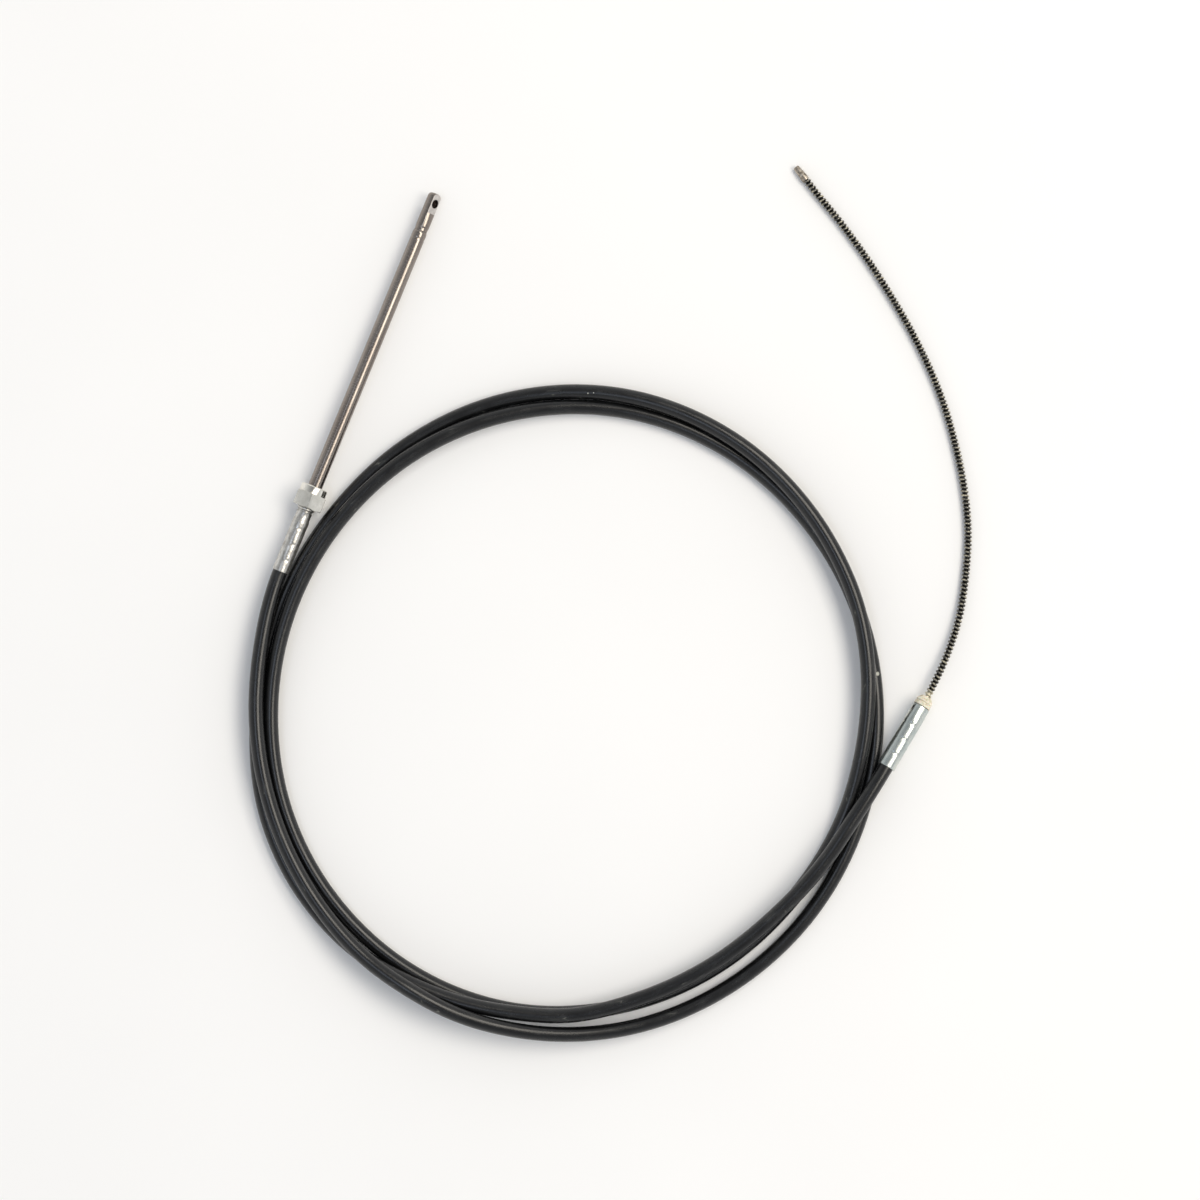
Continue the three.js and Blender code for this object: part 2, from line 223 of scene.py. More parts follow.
def slopeAtRow(index, column):
    if index in endSlopes:
        return endSlopes[index][column]
    before, here, after = coilRoute[index - 1:index + 2]
    spanBefore = here[0] - before[0]
    spanAfter = after[0] - here[0]
    rateBefore = (here[column] - before[column]) / spanBefore
    rateAfter = (after[column] - here[column]) / spanAfter
    return (rateBefore * spanAfter + rateAfter * spanBefore) / (spanBefore + spanAfter)


def routeValue(angle, column):
    later = [i for i, row in enumerate(coilRoute) if row[0] > angle]
    index = max(later[0] - 1, 0) if later else len(coilRoute) - 2
    span = coilRoute[index + 1][0] - coilRoute[index][0]
    t = (angle - coilRoute[index][0]) / span
    start = coilRoute[index][column] * (2 * t ** 3 - 3 * t ** 2 + 1)
    end = coilRoute[index + 1][column] * (3 * t ** 2 - 2 * t ** 3)
    leaving = slopeAtRow(index, column) * span * (t ** 3 - 2 * t ** 2 + t)
    arriving = slopeAtRow(index + 1, column) * span * (t ** 3 - t ** 2)
    return start + end + leaving + arriving


def coilPoint(angle):
    turn = math.radians(angle)
    distance = routeValue(angle, 1)
    height = cable["diameter"] / 2 + max(routeValue(angle, 2), 0)
    return cable["centre"] + Vector((distance * math.cos(turn), distance * math.sin(turn), height))


firstAngle = coilRoute[0][0]
lastAngle = firstAngle + cable["sweepDegrees"]
hubPoint = coilPoint(firstAngle)
helmPoint = coilPoint(lastAngle)


# Local Z runs along the fitting, local Y points down
def fittingPlace(start, axis):
    across = axis.cross(Vector((0, 0, 1))).normalized()
    down = axis.cross(across)
    turned = Matrix((across, down, axis)).transposed().to_4x4()
    return Matrix.Translation(start) @ turned


outputPlace = fittingPlace(hubPoint, ramAxis)
helmPlace = fittingPlace(helmPoint, helmAxis)

# lens and sensor in millimetres, place in metres; the camera looks straight down
view = {"lens": 100, "sensor": 36, "height": 3.665, "x": -0.0118, "y": 0.0042, "farthest": 30}

bpy.ops.object.camera_add(location=(view["x"], view["y"], view["height"]), rotation=(0, 0, 0))
camera = bpy.context.active_object
camera.name = "camera"
camera.data.lens = view["lens"]
camera.data.sensor_width = view["sensor"]
camera.data.clip_end = view["farthest"]
bpy.context.scene.camera = camera
print("camera set")


# Extruded polyethylene conduit: black, half gloss, lined by the die, dulled and nicked by handling
def makeJacketMaterial(nicks):
    material, tree = newMaterial("extruded black polyethylene")
    grain = addNode(tree, "ShaderNodeAttribute", {"attribute_name": "grain"}).outputs["Vector"]
    # lines of the die, 0.8 mm apart round the tube and 90 mm long
    lined = addNode(tree, "ShaderNodeMapping", {"Scale": (1250, 1250, 11)}, {"Vector": grain})
    drawLines = addNode(tree, "ShaderNodeTexNoise", {"Scale": 1, "Detail": 3, "Roughness": 0.6},
                        {"Vector": lined.outputs["Vector"]})
    # dull patches 9 mm across and 26 mm long from handling
    patchMap = addNode(tree, "ShaderNodeMapping", {"Scale": (110, 110, 38)}, {"Vector": grain})
    patches = addNode(tree, "ShaderNodeTexNoise", {"Scale": 1, "Detail": 5, "Roughness": 0.62},
                      {"Vector": patchMap.outputs["Vector"]})
    # fine grain of the plastic, half a millimetre across
    pitMap = addNode(tree, "ShaderNodeMapping", {"Scale": (1900, 1900, 1100)}, {"Vector": grain})
    pits = addNode(tree, "ShaderNodeTexNoise", {"Scale": 1, "Detail": 2, "Roughness": 0.5},
                   {"Vector": pitMap.outputs["Vector"]})
    # scratches: cells 3 mm across and 33 mm long, whose thin borders show inside some patches
    scratchMap = addNode(tree, "ShaderNodeMapping", {"Scale": (330, 330, 30), "Rotation": (0.12, 0.08, 0)},
                         {"Vector": grain})
    scratches = addNode(tree, "ShaderNodeTexVoronoi", {"feature": "DISTANCE_TO_EDGE", "Scale": 1},
                        {"Vector": scratchMap.outputs["Vector"]})
    thin = addNode(tree, "ShaderNodeMapRange",
                   {"From Min": 0.0, "From Max": 0.03, "To Min": 1, "To Max": 0},
                   {"Value": scratches.outputs["Distance"]})
    where = addNode(tree, "ShaderNodeMapRange",
                    {"From Min": 0.6, "From Max": 0.72, "To Min": 0, "To Max": 0.5},
                    {"Value": patches.outputs["Fac"]})
    scuffed = addNode(tree, "ShaderNodeMath", {"operation": "MULTIPLY"},
                      {0: thin.outputs["Result"], 1: where.outputs["Result"]}).outputs["Value"]
    for spot, size in nicks:
        away = addNode(tree, "ShaderNodeVectorMath", {"operation": "DISTANCE", 1: spot}, {0: grain})
        bite = addNode(tree, "ShaderNodeMapRange",
                       {"From Min": size * 0.55, "From Max": size, "To Min": 1, "To Max": 0},
                       {"Value": away.outputs["Value"]})
        scuffed = addNode(tree, "ShaderNodeMath", {"operation": "MAXIMUM"},
                          {0: scuffed, 1: bite.outputs["Result"]}).outputs["Value"]
    base = addNode(tree, "ShaderNodeValToRGB", {"stops": [(0.3, "#0b0b0c"), (0.7, "#141516")]},
                   {"Fac": patches.outputs["Fac"]})
    colour = addNode(tree, "ShaderNodeMix", {"data_type": "RGBA", 7: hexToLinear("#b9b9ae")},
                     {0: scuffed, 6: base.outputs["Color"]})
    rough = addNode(tree, "ShaderNodeMapRange",
                    {"From Min": 0.3, "From Max": 0.7, "To Min": 0.2, "To Max": 0.32},
                    {"Value": patches.outputs["Fac"]})
    relief = addNode(tree, "ShaderNodeMath", {"operation": "MULTIPLY_ADD", 1: 0.3},
                     {0: pits.outputs["Fac"], 2: drawLines.outputs["Fac"]})
    bump = addNode(tree, "ShaderNodeBump", {"Strength": 0.2, "Distance": 0.0002},
                   {"Height": relief.outputs["Value"]})
    shader = addNode(tree, "ShaderNodeBsdfPrincipled", {"IOR": 1.52, "Metallic": 0},
                     {"Base Color": colour.outputs[2], "Roughness": rough.outputs["Result"],
                      "Normal": bump.outputs["Normal"]})
    addNode(tree, "ShaderNodeOutputMaterial", links={"Surface": shader.outputs["BSDF"]})
    return material


# Metals: tones, roughness, tool marks and blotches differ from fitting to fitting. A scale is in patterns
# a metre, so 1000 gives one a millimetre, across the fitting twice and then along it.
def makeMetal(name, look):
    material, tree = newMaterial(name)
    grain = addNode(tree, "ShaderNodeAttribute", {"attribute_name": "grain"}).outputs["Vector"]
    markMap = addNode(tree, "ShaderNodeMapping", {"Scale": look["markScale"]}, {"Vector": grain})
    marks = addNode(tree, "ShaderNodeTexNoise", {"Scale": 1, "Detail": 4, "Roughness": 0.65},
                    {"Vector": markMap.outputs["Vector"]})
    blotchMap = addNode(tree, "ShaderNodeMapping", {"Scale": look["blotchScale"]}, {"Vector": grain})
    blotches = addNode(tree, "ShaderNodeTexNoise", {"Scale": 1, "Detail": 6, "Roughness": 0.6},
                       {"Vector": blotchMap.outputs["Vector"]})
    tone = addNode(tree, "ShaderNodeValToRGB", {"stops": look["tones"]}, {"Fac": blotches.outputs["Fac"]})
    low, high = look["roughness"]
    rough = addNode(tree, "ShaderNodeMapRange",
                    {"From Min": 0.25, "From Max": 0.75, "To Min": low, "To Max": high},
                    {"Value": marks.outputs["Fac"]})
    bump = addNode(tree, "ShaderNodeBump", {"Strength": look["bump"], "Distance": 0.0001},
                   {"Height": marks.outputs["Fac"]})
    shader = addNode(tree, "ShaderNodeBsdfPrincipled", {"Metallic": 1},
                     {"Base Color": tone.outputs["Color"], "Roughness": rough.outputs["Result"],
                      "Normal": bump.outputs["Normal"]})
    addNode(tree, "ShaderNodeOutputMaterial", links={"Surface": shader.outputs["BSDF"]})
    return material


# Bright zinc plate on a drawn steel sleeve: cool silver with blue-grey patches 6 by 17 mm, and draw marks
# 0.7 mm apart and 11 mm long
zincPlate = makeMetal("bright zinc plate", {
    "markScale": (1500, 1500, 90),
    "blotchScale": (160, 160, 60),
    "tones": [(0.3, "#a9b2b1"), (0.5, "#c3cac7"), (0.7, "#d4d6cf")],
    "roughness": (0.2, 0.36),
    "bump": 0.22,
})
# The same plate rubbed by a spanner and weather: warmer, with scratches 1.4 by 2.4 mm on patches 4 by 7 mm
wornZinc = makeMetal("worn zinc plate", {
    "markScale": (700, 700, 420),
    "blotchScale": (260, 260, 150),
    "tones": [(0.3, "#97948f"), (0.48, "#bebcb7"), (0.66, "#dad8d3")],
    "roughness": (0.2, 0.46),
    "bump": 0.5,
})
# Nickel-plated turned nut: pale warm silver, half polished, faint tool rings 0.4 mm apart
nickelPlate = makeMetal("turned nickel plate", {
    "markScale": (60, 60, 2600),
    "blotchScale": (120, 120, 120),
    "tones": [(0.3, "#dbd8cf"), (0.55, "#e6e3da"), (0.75, "#f0ede5")],
    "roughness": (0.1, 0.22),
    "bump": 0.06,
})
# Centreless-ground stainless tube: brownish grey, nearly a mirror, faint rings drawn 0.6 mm apart
groundStainless = makeMetal("ground stainless tube", {
    "markScale": (90, 90, 1600),
    "blotchScale": (70, 70, 16),
    "tones": [(0.3, "#80766f"), (0.55, "#928a83"), (0.75, "#a09992")],
    "roughness": (0.2, 0.3),
    "bump": 0.06,
})
# Brazed end of the core: the wound wire drowned in braze, brownish grey and half dull, in 3 mm patches
brazedTip = makeMetal("brazed wire end", {
    "markScale": (300, 300, 700),
    "blotchScale": (330, 330, 260),
    "tones": [(0.32, "#6b6259"), (0.5, "#9c9285"), (0.66, "#d2c9bb")],
    "roughness": (0.25, 0.5),
    "bump": 0.5,
})
# Milled flat of the rod end: satin, cutter marks across it 0.7 mm apart; its pale tone is a painted
# reflection of the bright floor
milledFlatPaintedReflection = makeMetal("milled stainless flat with painted reflection", {
    "markScale": (300, 300, 1400),
    "blotchScale": (200, 200, 200),
    "tones": [(0.3, "#bdb7b2"), (0.55, "#cec9c5"), (0.75, "#dad6d3")],
    "roughness": (0.34, 0.48),
    "bump": 0.1,
})
# Painted shade for the inside of the drilled eye and the punched dimple: near black, little shine, specks
# of 1 mm
paintedShadeInBores = makeMetal("painted shade in bores", {
    "markScale": (900, 900, 900),
    "blotchScale": (400, 400, 400),
    "tones": [(0.35, "#1c1412"), (0.55, "#2c211e"), (0.75, "#6d6058")],
    "roughness": (0.4, 0.6),
    "bump": 0.3,
})


# Moulded ivory nylon seal: slightly translucent, with handling dirt in spots of 4 mm
def makeSealMaterial():
    material, tree = newMaterial("moulded ivory nylon")
    grain = addNode(tree, "ShaderNodeAttribute", {"attribute_name": "grain"}).outputs["Vector"]
    dirtMap = addNode(tree, "ShaderNodeMapping", {"Scale": (260, 260, 260)}, {"Vector": grain})
    dirt = addNode(tree, "ShaderNodeTexNoise", {"Scale": 1, "Detail": 6, "Roughness": 0.65},
                   {"Vector": dirtMap.outputs["Vector"]})
    tone = addNode(tree, "ShaderNodeValToRGB",
                   {"stops": [(0.3, "#a69a7c"), (0.48, "#ddd6bf"), (0.75, "#f1eddf")]},
                   {"Fac": dirt.outputs["Fac"]})
    rough = addNode(tree, "ShaderNodeMapRange",
                    {"From Min": 0.3, "From Max": 0.7, "To Min": 0.55, "To Max": 0.38},
                    {"Value": dirt.outputs["Fac"]})
    bump = addNode(tree, "ShaderNodeBump", {"Strength": 0.3, "Distance": 0.0002},
                   {"Height": dirt.outputs["Fac"]})
    shader = addNode(tree, "ShaderNodeBsdfPrincipled",
                     {"IOR": 1.53, "Metallic": 0, "Subsurface Weight": 0.15, "Subsurface Scale": 0.002},
                     {"Base Color": tone.outputs["Color"], "Roughness": rough.outputs["Result"],
                      "Normal": bump.outputs["Normal"]})
    addNode(tree, "ShaderNodeOutputMaterial", links={"Surface": shader.outputs["BSDF"]})
    return material


# Oiled spring steel: bright wound wire with cream on its crests, partly straw-coloured grease and partly
# painted highlight, and painted shade, near black, between the turns
def makeCoreMaterial():
    material, tree = newMaterial("oiled spring steel")
    grain = addNode(tree, "ShaderNodeAttribute", {"attribute_name": "grain"}).outputs["Vector"]
    # cream patches 5 mm long, partly straw grease and partly painted highlight of the wire's glints
    greaseAndGlintMap = addNode(tree, "ShaderNodeMapping", {"Scale": (240, 240, 210)}, {"Vector": grain})
    greaseAndGlint = addNode(tree, "ShaderNodeTexNoise", {"Scale": 1, "Detail": 5, "Roughness": 0.6},
                     {"Vector": greaseAndGlintMap.outputs["Vector"]})
    tone = addNode(tree, "ShaderNodeValToRGB",
                   {"stops": [(0.36, "#5d5c58"), (0.5, "#8b887f"), (0.6, "#b3ac99"), (0.7, "#dad1b6")]},
                   {"Fac": greaseAndGlint.outputs["Fac"]})
    # painted shade: nearer than 3.5 mm to the middle, the wire's sides and the rod below are painted near
    # black as the shade between the turns; from 4.3 mm outwards the crests show their tone
    section = addNode(tree, "ShaderNodeVectorMath", {"operation": "MULTIPLY", 1: (1, 1, 0)}, {0: grain})
    reach = addNode(tree, "ShaderNodeVectorMath", {"operation": "LENGTH"}, {0: section.outputs["Vector"]})
    clearOfPaintedShade = addNode(tree, "ShaderNodeMapRange",
                    {"From Min": 0.0035, "From Max": 0.0043, "To Min": 0, "To Max": 1},
                    {"Value": reach.outputs["Value"]})
    shadedBetweenTurns = addNode(tree, "ShaderNodeMix", {"data_type": "RGBA", 6: hexToLinear("#0f0e0c")},
                    {0: clearOfPaintedShade.outputs["Result"], 7: tone.outputs["Color"]})
    # pale cream covers the first turns, 3 to 9 mm past the seal: partly grease pushed out of it, partly
    # painted highlight
    along = addNode(tree, "ShaderNodeSeparateXYZ", links={"Vector": grain})
    greaseAndGlintNearSeal = addNode(tree, "ShaderNodeMapRange",
                      {"From Min": 0.015, "From Max": 0.021, "To Min": 0.85, "To Max": 0},
                      {"Value": along.outputs["Z"]})
    colour = addNode(tree, "ShaderNodeMix", {"data_type": "RGBA", 7: hexToLinear("#ded6bd")},
                     {0: greaseAndGlintNearSeal.outputs["Result"], 6: shadedBetweenTurns.outputs[2]})
    metal = addNode(tree, "ShaderNodeMapRange",
                    {"From Min": 0.5, "From Max": 0.66, "To Min": 1, "To Max": 0.2},
                    {"Value": greaseAndGlint.outputs["Fac"]})
    rough = addNode(tree, "ShaderNodeMapRange",
                    {"From Min": 0.35, "From Max": 0.7, "To Min": 0.2, "To Max": 0.5},
                    {"Value": greaseAndGlint.outputs["Fac"]})
    bump = addNode(tree, "ShaderNodeBump", {"Strength": 0.3, "Distance": 0.0002},
                   {"Height": greaseAndGlint.outputs["Fac"]})
    shader = addNode(tree, "ShaderNodeBsdfPrincipled",
                     links={"Base Color": colour.outputs[2], "Metallic": metal.outputs["Result"],
                            "Roughness": rough.outputs["Result"], "Normal": bump.outputs["Normal"]})
    addNode(tree, "ShaderNodeOutputMaterial", links={"Surface": shader.outputs["BSDF"]})
    return material


ivoryNylon = makeSealMaterial()
oiledSteel = makeCoreMaterial()
print("materials made")


def ringFrames(points):
    frames = []
    for i, point in enumerate(points):
        along = (points[min(i + 1, len(points) - 1)] - points[max(i - 1, 0)]).normalized()
        side = along.cross(Vector((0, 0, 1))).normalized()
        frames.append((point, along, side, side.cross(along)))
    return frames


def lengthsAlong(points):
    lengths = [0]
    for a, b in zip(points, points[1:]):
        lengths.append(lengths[-1] + (b - a).length)
    return lengths


# A tube through rings of points; its grain runs round the section and along the length
def tubeMesh(name, rings, grains):
    sides = len(rings[0])
    vertices = [point for ring in rings for point in ring]
    faces = []
    for i in range(len(rings) - 1):
        for j in range(sides):
            k = (j + 1) % sides
            faces.append((i * sides + j, i * sides + k, (i + 1) * sides + k, (i + 1) * sides + j))
    last = (len(rings) - 1) * sides
    faces.append(tuple(reversed(range(sides))))
    faces.append(tuple(range(last, last + sides)))
    mesh = bpy.data.meshes.new(name)
    mesh.from_pydata(vertices, [], faces)
    grain = mesh.attributes.new("grain", "FLOAT_VECTOR", "POINT")
    for item, value in zip(grain.data, [g for ring in grains for g in ring]):
        item.vector = value
    piece = bpy.data.objects.new(name, mesh)
    bpy.context.scene.collection.objects.link(piece)
    selectOnly(piece)
    bpy.ops.object.shade_smooth_by_angle(angle=math.radians(50))
    return piece


def makeJacket():
    steps = round(cable["sweepDegrees"] / cable["stepDegrees"])
    coil = [coilPoint(firstAngle + cable["sweepDegrees"] * i / steps) for i in range(steps + 1)]
    into = cable["intoFitting"]
    points = [hubPoint + ramAxis * into, *coil, helmPoint + helmAxis * into]
    lengths = lengthsAlong(points)
    radius = cable["diameter"] / 2
    rings, grains = [], []
    for (point, along, side, up), length in zip(ringFrames(points), lengths):
        ring, grain = [], []
        for j in range(cable["sides"]):
            turn = 2 * math.pi * j / cable["sides"]
            x, y = radius * math.cos(turn), radius * math.sin(turn)
            ring.append(point + side * x + up * y)
            grain.append((x, y, length))
        rings.append(ring)
        grains.append(grain)
    return tubeMesh("jacket", rings, grains), coil


jacket, jacketLine = makeJacket()


# Nicks in the plastic: way round the coil in degrees, turn of the section in degrees, size
jacketNicks = [(367, 62, 0.0026), (806, 104, 0.0008), (804.6, 98, 0.0007)]


def nickSpots():
    spots = []
    for angle, turn, size in jacketNicks:
        index = round((angle - firstAngle) / cable["stepDegrees"])
        along = lengthsAlong(jacketLine[:index + 1])[-1] + cable["intoFitting"]
        turn = math.radians(turn)
        radius = cable["diameter"] / 2
        spots.append(((radius * math.cos(turn), radius * math.sin(turn), along), size))
    return spots


settle(jacket, makeJacketMaterial(nickSpots()), "cable", "conduit_jacket")

core = {
    "diameter": 0.0088,
    "rodRadius": 0.0026,
    "wireRadius": 0.0012,
    "pitch": 0.00445,
    "ringsPerTurn": 14,
    "wireSides": 8,
    "rodSides": 12,
    "rodStep": 0.004,
    "pathStep": 0.008,
    "pointsPerSpan": 24,
    "sealStart": 0.0774,
    "sealMiddle": 0.0833,
    "sealEnd": 0.0892,
}


def catmullRom(points, perSpan):
    padded = [points[0] * 2 - points[1], *points, points[-1] * 2 - points[-2]]
    line = []
    for i in range(1, len(padded) - 2):
        a, b, c, d = padded[i - 1:i + 3]
        ta, tb, tc = math.sqrt((b - a).length), math.sqrt((c - b).length), math.sqrt((d - c).length)
        leave = ((b - a) / ta - (c - a) / (ta + tb) + (c - b) / tb) * tb
        arrive = ((c - b) / tb - (d - b) / (tb + tc) + (d - c) / tc) * tb
        for k in range(perSpan):
            t = k / perSpan
            line.append(b * (2 * t ** 3 - 3 * t ** 2 + 1) + leave * (t ** 3 - 2 * t ** 2 + t)
                        + c * (3 * t ** 2 - 2 * t ** 3) + arrive * (t ** 3 - t ** 2))
    return [*line, points[-1]]


def evenLine(points, step):
    lengths = lengthsAlong(points)
    count = max(round(lengths[-1] / step), 1)
    line, index = [], 0
    for i in range(count + 1):
        want = lengths[-1] * i / count
        while index < len(points) - 2 and lengths[index + 1] < want:
            index += 1
        share = (want - lengths[index]) / (lengths[index + 1] - lengths[index])
        line.append(points[index].lerp(points[index + 1], min(share, 1)))
    return line


def makeCore():
    throughSeal = [helmPoint + helmAxis * core[key] for key in ("sealStart", "sealMiddle", "sealEnd")]
    route = throughSeal + [cable["centre"] + Vector(row) for row in coreRoute]
    smooth = catmullRom(route, core["pointsPerSpan"])
    # the rod that the wire is wound on
    rodLine = evenLine(smooth, core["rodStep"])
    turns = [2 * math.pi * j / core["rodSides"] for j in range(core["rodSides"])]
    radius = core["rodRadius"]
    rings, grains = [], []
    for (point, along, side, up), length in zip(ringFrames(rodLine), lengthsAlong(rodLine)):
        rings.append([point + side * radius * math.cos(t) + up * radius * math.sin(t) for t in turns])
        grains.append([(radius * math.cos(t), radius * math.sin(t), length) for t in turns])
    rod = tubeMesh("coreRod", rings, grains)
    # the wire wound round it
    wireLine = evenLine(smooth, core["pitch"] / core["ringsPerTurn"])
    lengths = lengthsAlong(wireLine)
    around = core["diameter"] / 2 - core["wireRadius"]
    climb = core["pitch"] / (2 * math.pi)
    rings, grains = [], []
    for (point, along, side, up), length in zip(ringFrames(wireLine), lengths):
        phase = length / climb
        out = side * math.cos(phase) + up * math.sin(phase)
        wireWay = (along * climb + (up * math.cos(phase) - side * math.sin(phase)) * around).normalized()
        across = wireWay.cross(out)
        middle = point + out * around
        ring, grain = [], []
        for j in range(core["wireSides"]):
            turn = 2 * math.pi * j / core["wireSides"]
            offset = out * math.cos(turn) + across * math.sin(turn)
            ring.append(middle + offset * core["wireRadius"])
            reach = around + core["wireRadius"] * math.cos(turn)
            grain.append((reach * math.cos(phase), reach * math.sin(phase),
                          length + core["wireRadius"] * math.sin(turn)))
        rings.append(ring)
        grains.append(grain)
    wire = tubeMesh("helixCore", rings, grains)
    selectOnly(wire)
    rod.select_set(True)
    bpy.ops.object.join()
    return wire, evenLine(smooth, core["pathStep"])


helixCore, coreLine = makeCore()
settle(helixCore, oiledSteel, "cable", "helix_core")
tipPlace = fittingPlace(coreLine[-1], (coreLine[-1] - coreLine[-2]).normalized())

# A ring's rows lie at shares of its half width: where it starts, its shoulder and the edge of its floor
crimps = {
    "rings": 3,
    "pitch": 0.0186,
    "halfWidth": 0.0016,
    "outer": 1.9,
    "shoulder": 1.2,
    "floor": 0.6,
    "trough": 0.00018,
    "jaws": 8,
    "dent": 0.00042,
}


def crimpRows(radius, firstRing):
    rows = []
    half = crimps["halfWidth"]
    low = radius - crimps["trough"]
    outer, shoulder, floor = half * crimps["outer"], half * crimps["shoulder"], half * crimps["floor"]
    for i in range(crimps["rings"]):
        middle = firstRing + i * crimps["pitch"]
        rows += [(radius, middle - outer), (radius, middle - shoulder), (low, middle - floor)]
        rows += [(low, middle)]
        rows += [(low, middle + floor), (radius, middle + shoulder), (radius, middle + outer)]
    return rows


# Each of the press's jaws leaves a dent in the middle of the ring
def pressDents(piece, radius, firstRing):
    step = 2 * math.pi / crimps["jaws"]
    middles = [firstRing + i * crimps["pitch"] for i in range(crimps["rings"])]

    def underJaw(co):
        turn = math.atan2(co.y, co.x) / step - 0.5
        onRing = any(abs(co.z - middle) < 1e-5 for middle in middles)
        return onRing and abs(turn - round(turn)) < 0.02 and math.hypot(co.x, co.y) > radius * 0.9

    selectOnly(piece)
    pickVertices(piece, underJaw)
    scale = (radius - crimps["trough"] - crimps["dent"]) / (radius - crimps["trough"])
    bpy.ops.transform.resize(value=(scale, scale, 1), center_override=(0, 0, 0))
    bpy.ops.object.mode_set(mode="OBJECT")


# swell and waist are given from the groove backwards
hub = {
    "diameter": 0.0182,
    "start": 0.0003,
    "length": 0.070,
    "firstRing": 0.0139,
    "mouthBore": 0.01676,
    "mouthDepth": 0.0085,
    "swell": 0.0002,
    "swellFrom": 0.014,
    "swellTo": 0.011,
    "waistDepth": 0.0005,
    "waistFrom": 0.008,
    "waistTo": 0.003,
    "grooveDiameter": 0.0162,
    "grooveWidth": 0.0016,
    "collarDiameter": 0.0194,
    "collarLength": 0.003,
    "collarTaper": 0.0016,
    "neckDiameter": 0.013,
    "flangeDiameter": 0.0192,
    "flangeStart": 0.0801,
    "flangeThickness": 0.0036,
}


# The small numbers in the outlines are broken edges, and rows that keep an edge sharp
def makeHub():
    r = hub["diameter"] / 2
    bore = hub["mouthBore"] / 2
    start = hub["start"]
    groove = start + hub["length"]
    collar = groove + hub["grooveWidth"]
    collarEnd = collar + hub["collarLength"]
    flange = hub["flangeStart"]
    flangeEnd = flange + hub["flangeThickness"]
    g = hub["grooveDiameter"] / 2
    c = hub["collarDiameter"] / 2
    n = hub["neckDiameter"] / 2
    f = hub["flangeDiameter"] / 2
    taperEnd = collar + hub["collarTaper"]
    waist = r - hub["waistDepth"]
    swell = r + hub["swell"]
    profile = [(bore, start + hub["mouthDepth"]), (bore, start + 0.0004), (bore + 0.0002, start + 0.0001)]
    profile += [(r - 0.0003, start), (r, start + 0.0004), (r, start + 0.0012)]
    profile += crimpRows(r, hub["firstRing"])
    profile += [(swell, groove - hub["swellFrom"]), (swell, groove - hub["swellTo"])]
    profile += [(waist, groove - hub["waistFrom"]), (waist, groove - hub["waistTo"])]
    profile += [(r - 0.0003, groove - 0.0013), (r - 0.0001, groove - 0.0005), (r - 0.0004, groove)]
    profile += [(g, groove + 0.0002), (g, collar - 0.0001), (g + 0.0002, collar)]
    profile += [(c - 0.0003, taperEnd - 0.0003), (c, taperEnd)]
    profile += [(c, collarEnd - 0.0005), (c - 0.0005, collarEnd)]
    profile += [(n, collarEnd + 0.0002), (n, flange), (f - 0.0003, flange), (f, flange + 0.0003)]
    profile += [(f, flangeEnd - 0.0003), (f - 0.0003, flangeEnd)]
    piece = turnPiece("outputHub", profile)
    pressDents(piece, r, hub["firstRing"])
    layPiece(piece, outputPlace)
    return piece


settle(makeHub(), wornZinc, "cable", "output_hub")

ferrule = {
    "diameter": 0.0202,
    "start": 0.0003,
    "length": 0.0768,
    "firstRing": 0.0169,
    "rim": 0.0012,
    "turnedLength": 0.01,
    "turnedDepth": 0.00025,
    "mouthBore": 0.01676,
    "mouthDepth": 0.0085,
    "dimpleAt": 0.0716,
    "dimpleTurn": -148,
    "dimpleRadius": 0.0015,
    "dimpleLift": 0.00045,
}


def makeFerrule():
    r = ferrule["diameter"] / 2
    bore = ferrule["mouthBore"] / 2
    start = ferrule["start"]
    end = start + ferrule["length"]
    profile = [(bore, start + ferrule["mouthDepth"]), (bore, start + 0.0004)]
    profile += [(bore + 0.0002, start + 0.0001)]
    profile += [(r - 0.0004, start), (r, start + 0.0005), (r, start + 0.0014)]
    profile += crimpRows(r, ferrule["firstRing"])
    turned = end - ferrule["turnedLength"]
    low = r - ferrule["turnedDepth"]
    profile += [(r, turned - 0.0004), (low, turned + 0.0004), (low, end - 0.0016)]
    profile += [(r - 0.0005, end - 0.0006), (r - ferrule["rim"], end)]
    piece = turnPiece("helmFerrule", profile)
    pressDents(piece, r, ferrule["firstRing"])
    # one punched dimple near the outer end holds the seal
    turn = math.radians(ferrule["dimpleTurn"])
    reach = r + ferrule["dimpleLift"]
    spot = Vector((reach * math.cos(turn), reach * math.sin(turn), ferrule["dimpleAt"]))
    bpy.ops.object.select_all(action="DESELECT")
    bpy.ops.mesh.primitive_uv_sphere_add(segments=20, ring_count=12, radius=ferrule["dimpleRadius"],
                                         location=spot)
    applyBoolean(piece, bpy.context.active_object, "DIFFERENCE")
    layPiece(piece, helmPlace)
    return piece, helmPlace @ spot


helmFerrule, dimpleSpot = makeFerrule()
settle(helmFerrule, zincPlate, "cable", "helm_end_ferrule")
# the punched dimple's faces take the painted shade
helmFerrule.data.materials.append(paintedShadeInBores)
for face in helmFerrule.data.polygons:
    if (face.center - dimpleSpot).length < ferrule["dimpleRadius"] * 1.01:
        face.material_index = 1
print("sleeves made")

seal = {
    "diameter": 0.0192,
    "bore": 0.0095,
    "start": 0.0774,
    "straight": 0.007,
    "cone": 0.0048,
    "noseDiameter": 0.012,
    "grooveFrom": 0.0026,
    "grooveDepth": 0.0012,
    "grooveFloor": 0.0004,
    "grooveMouth": 0.0008,
}


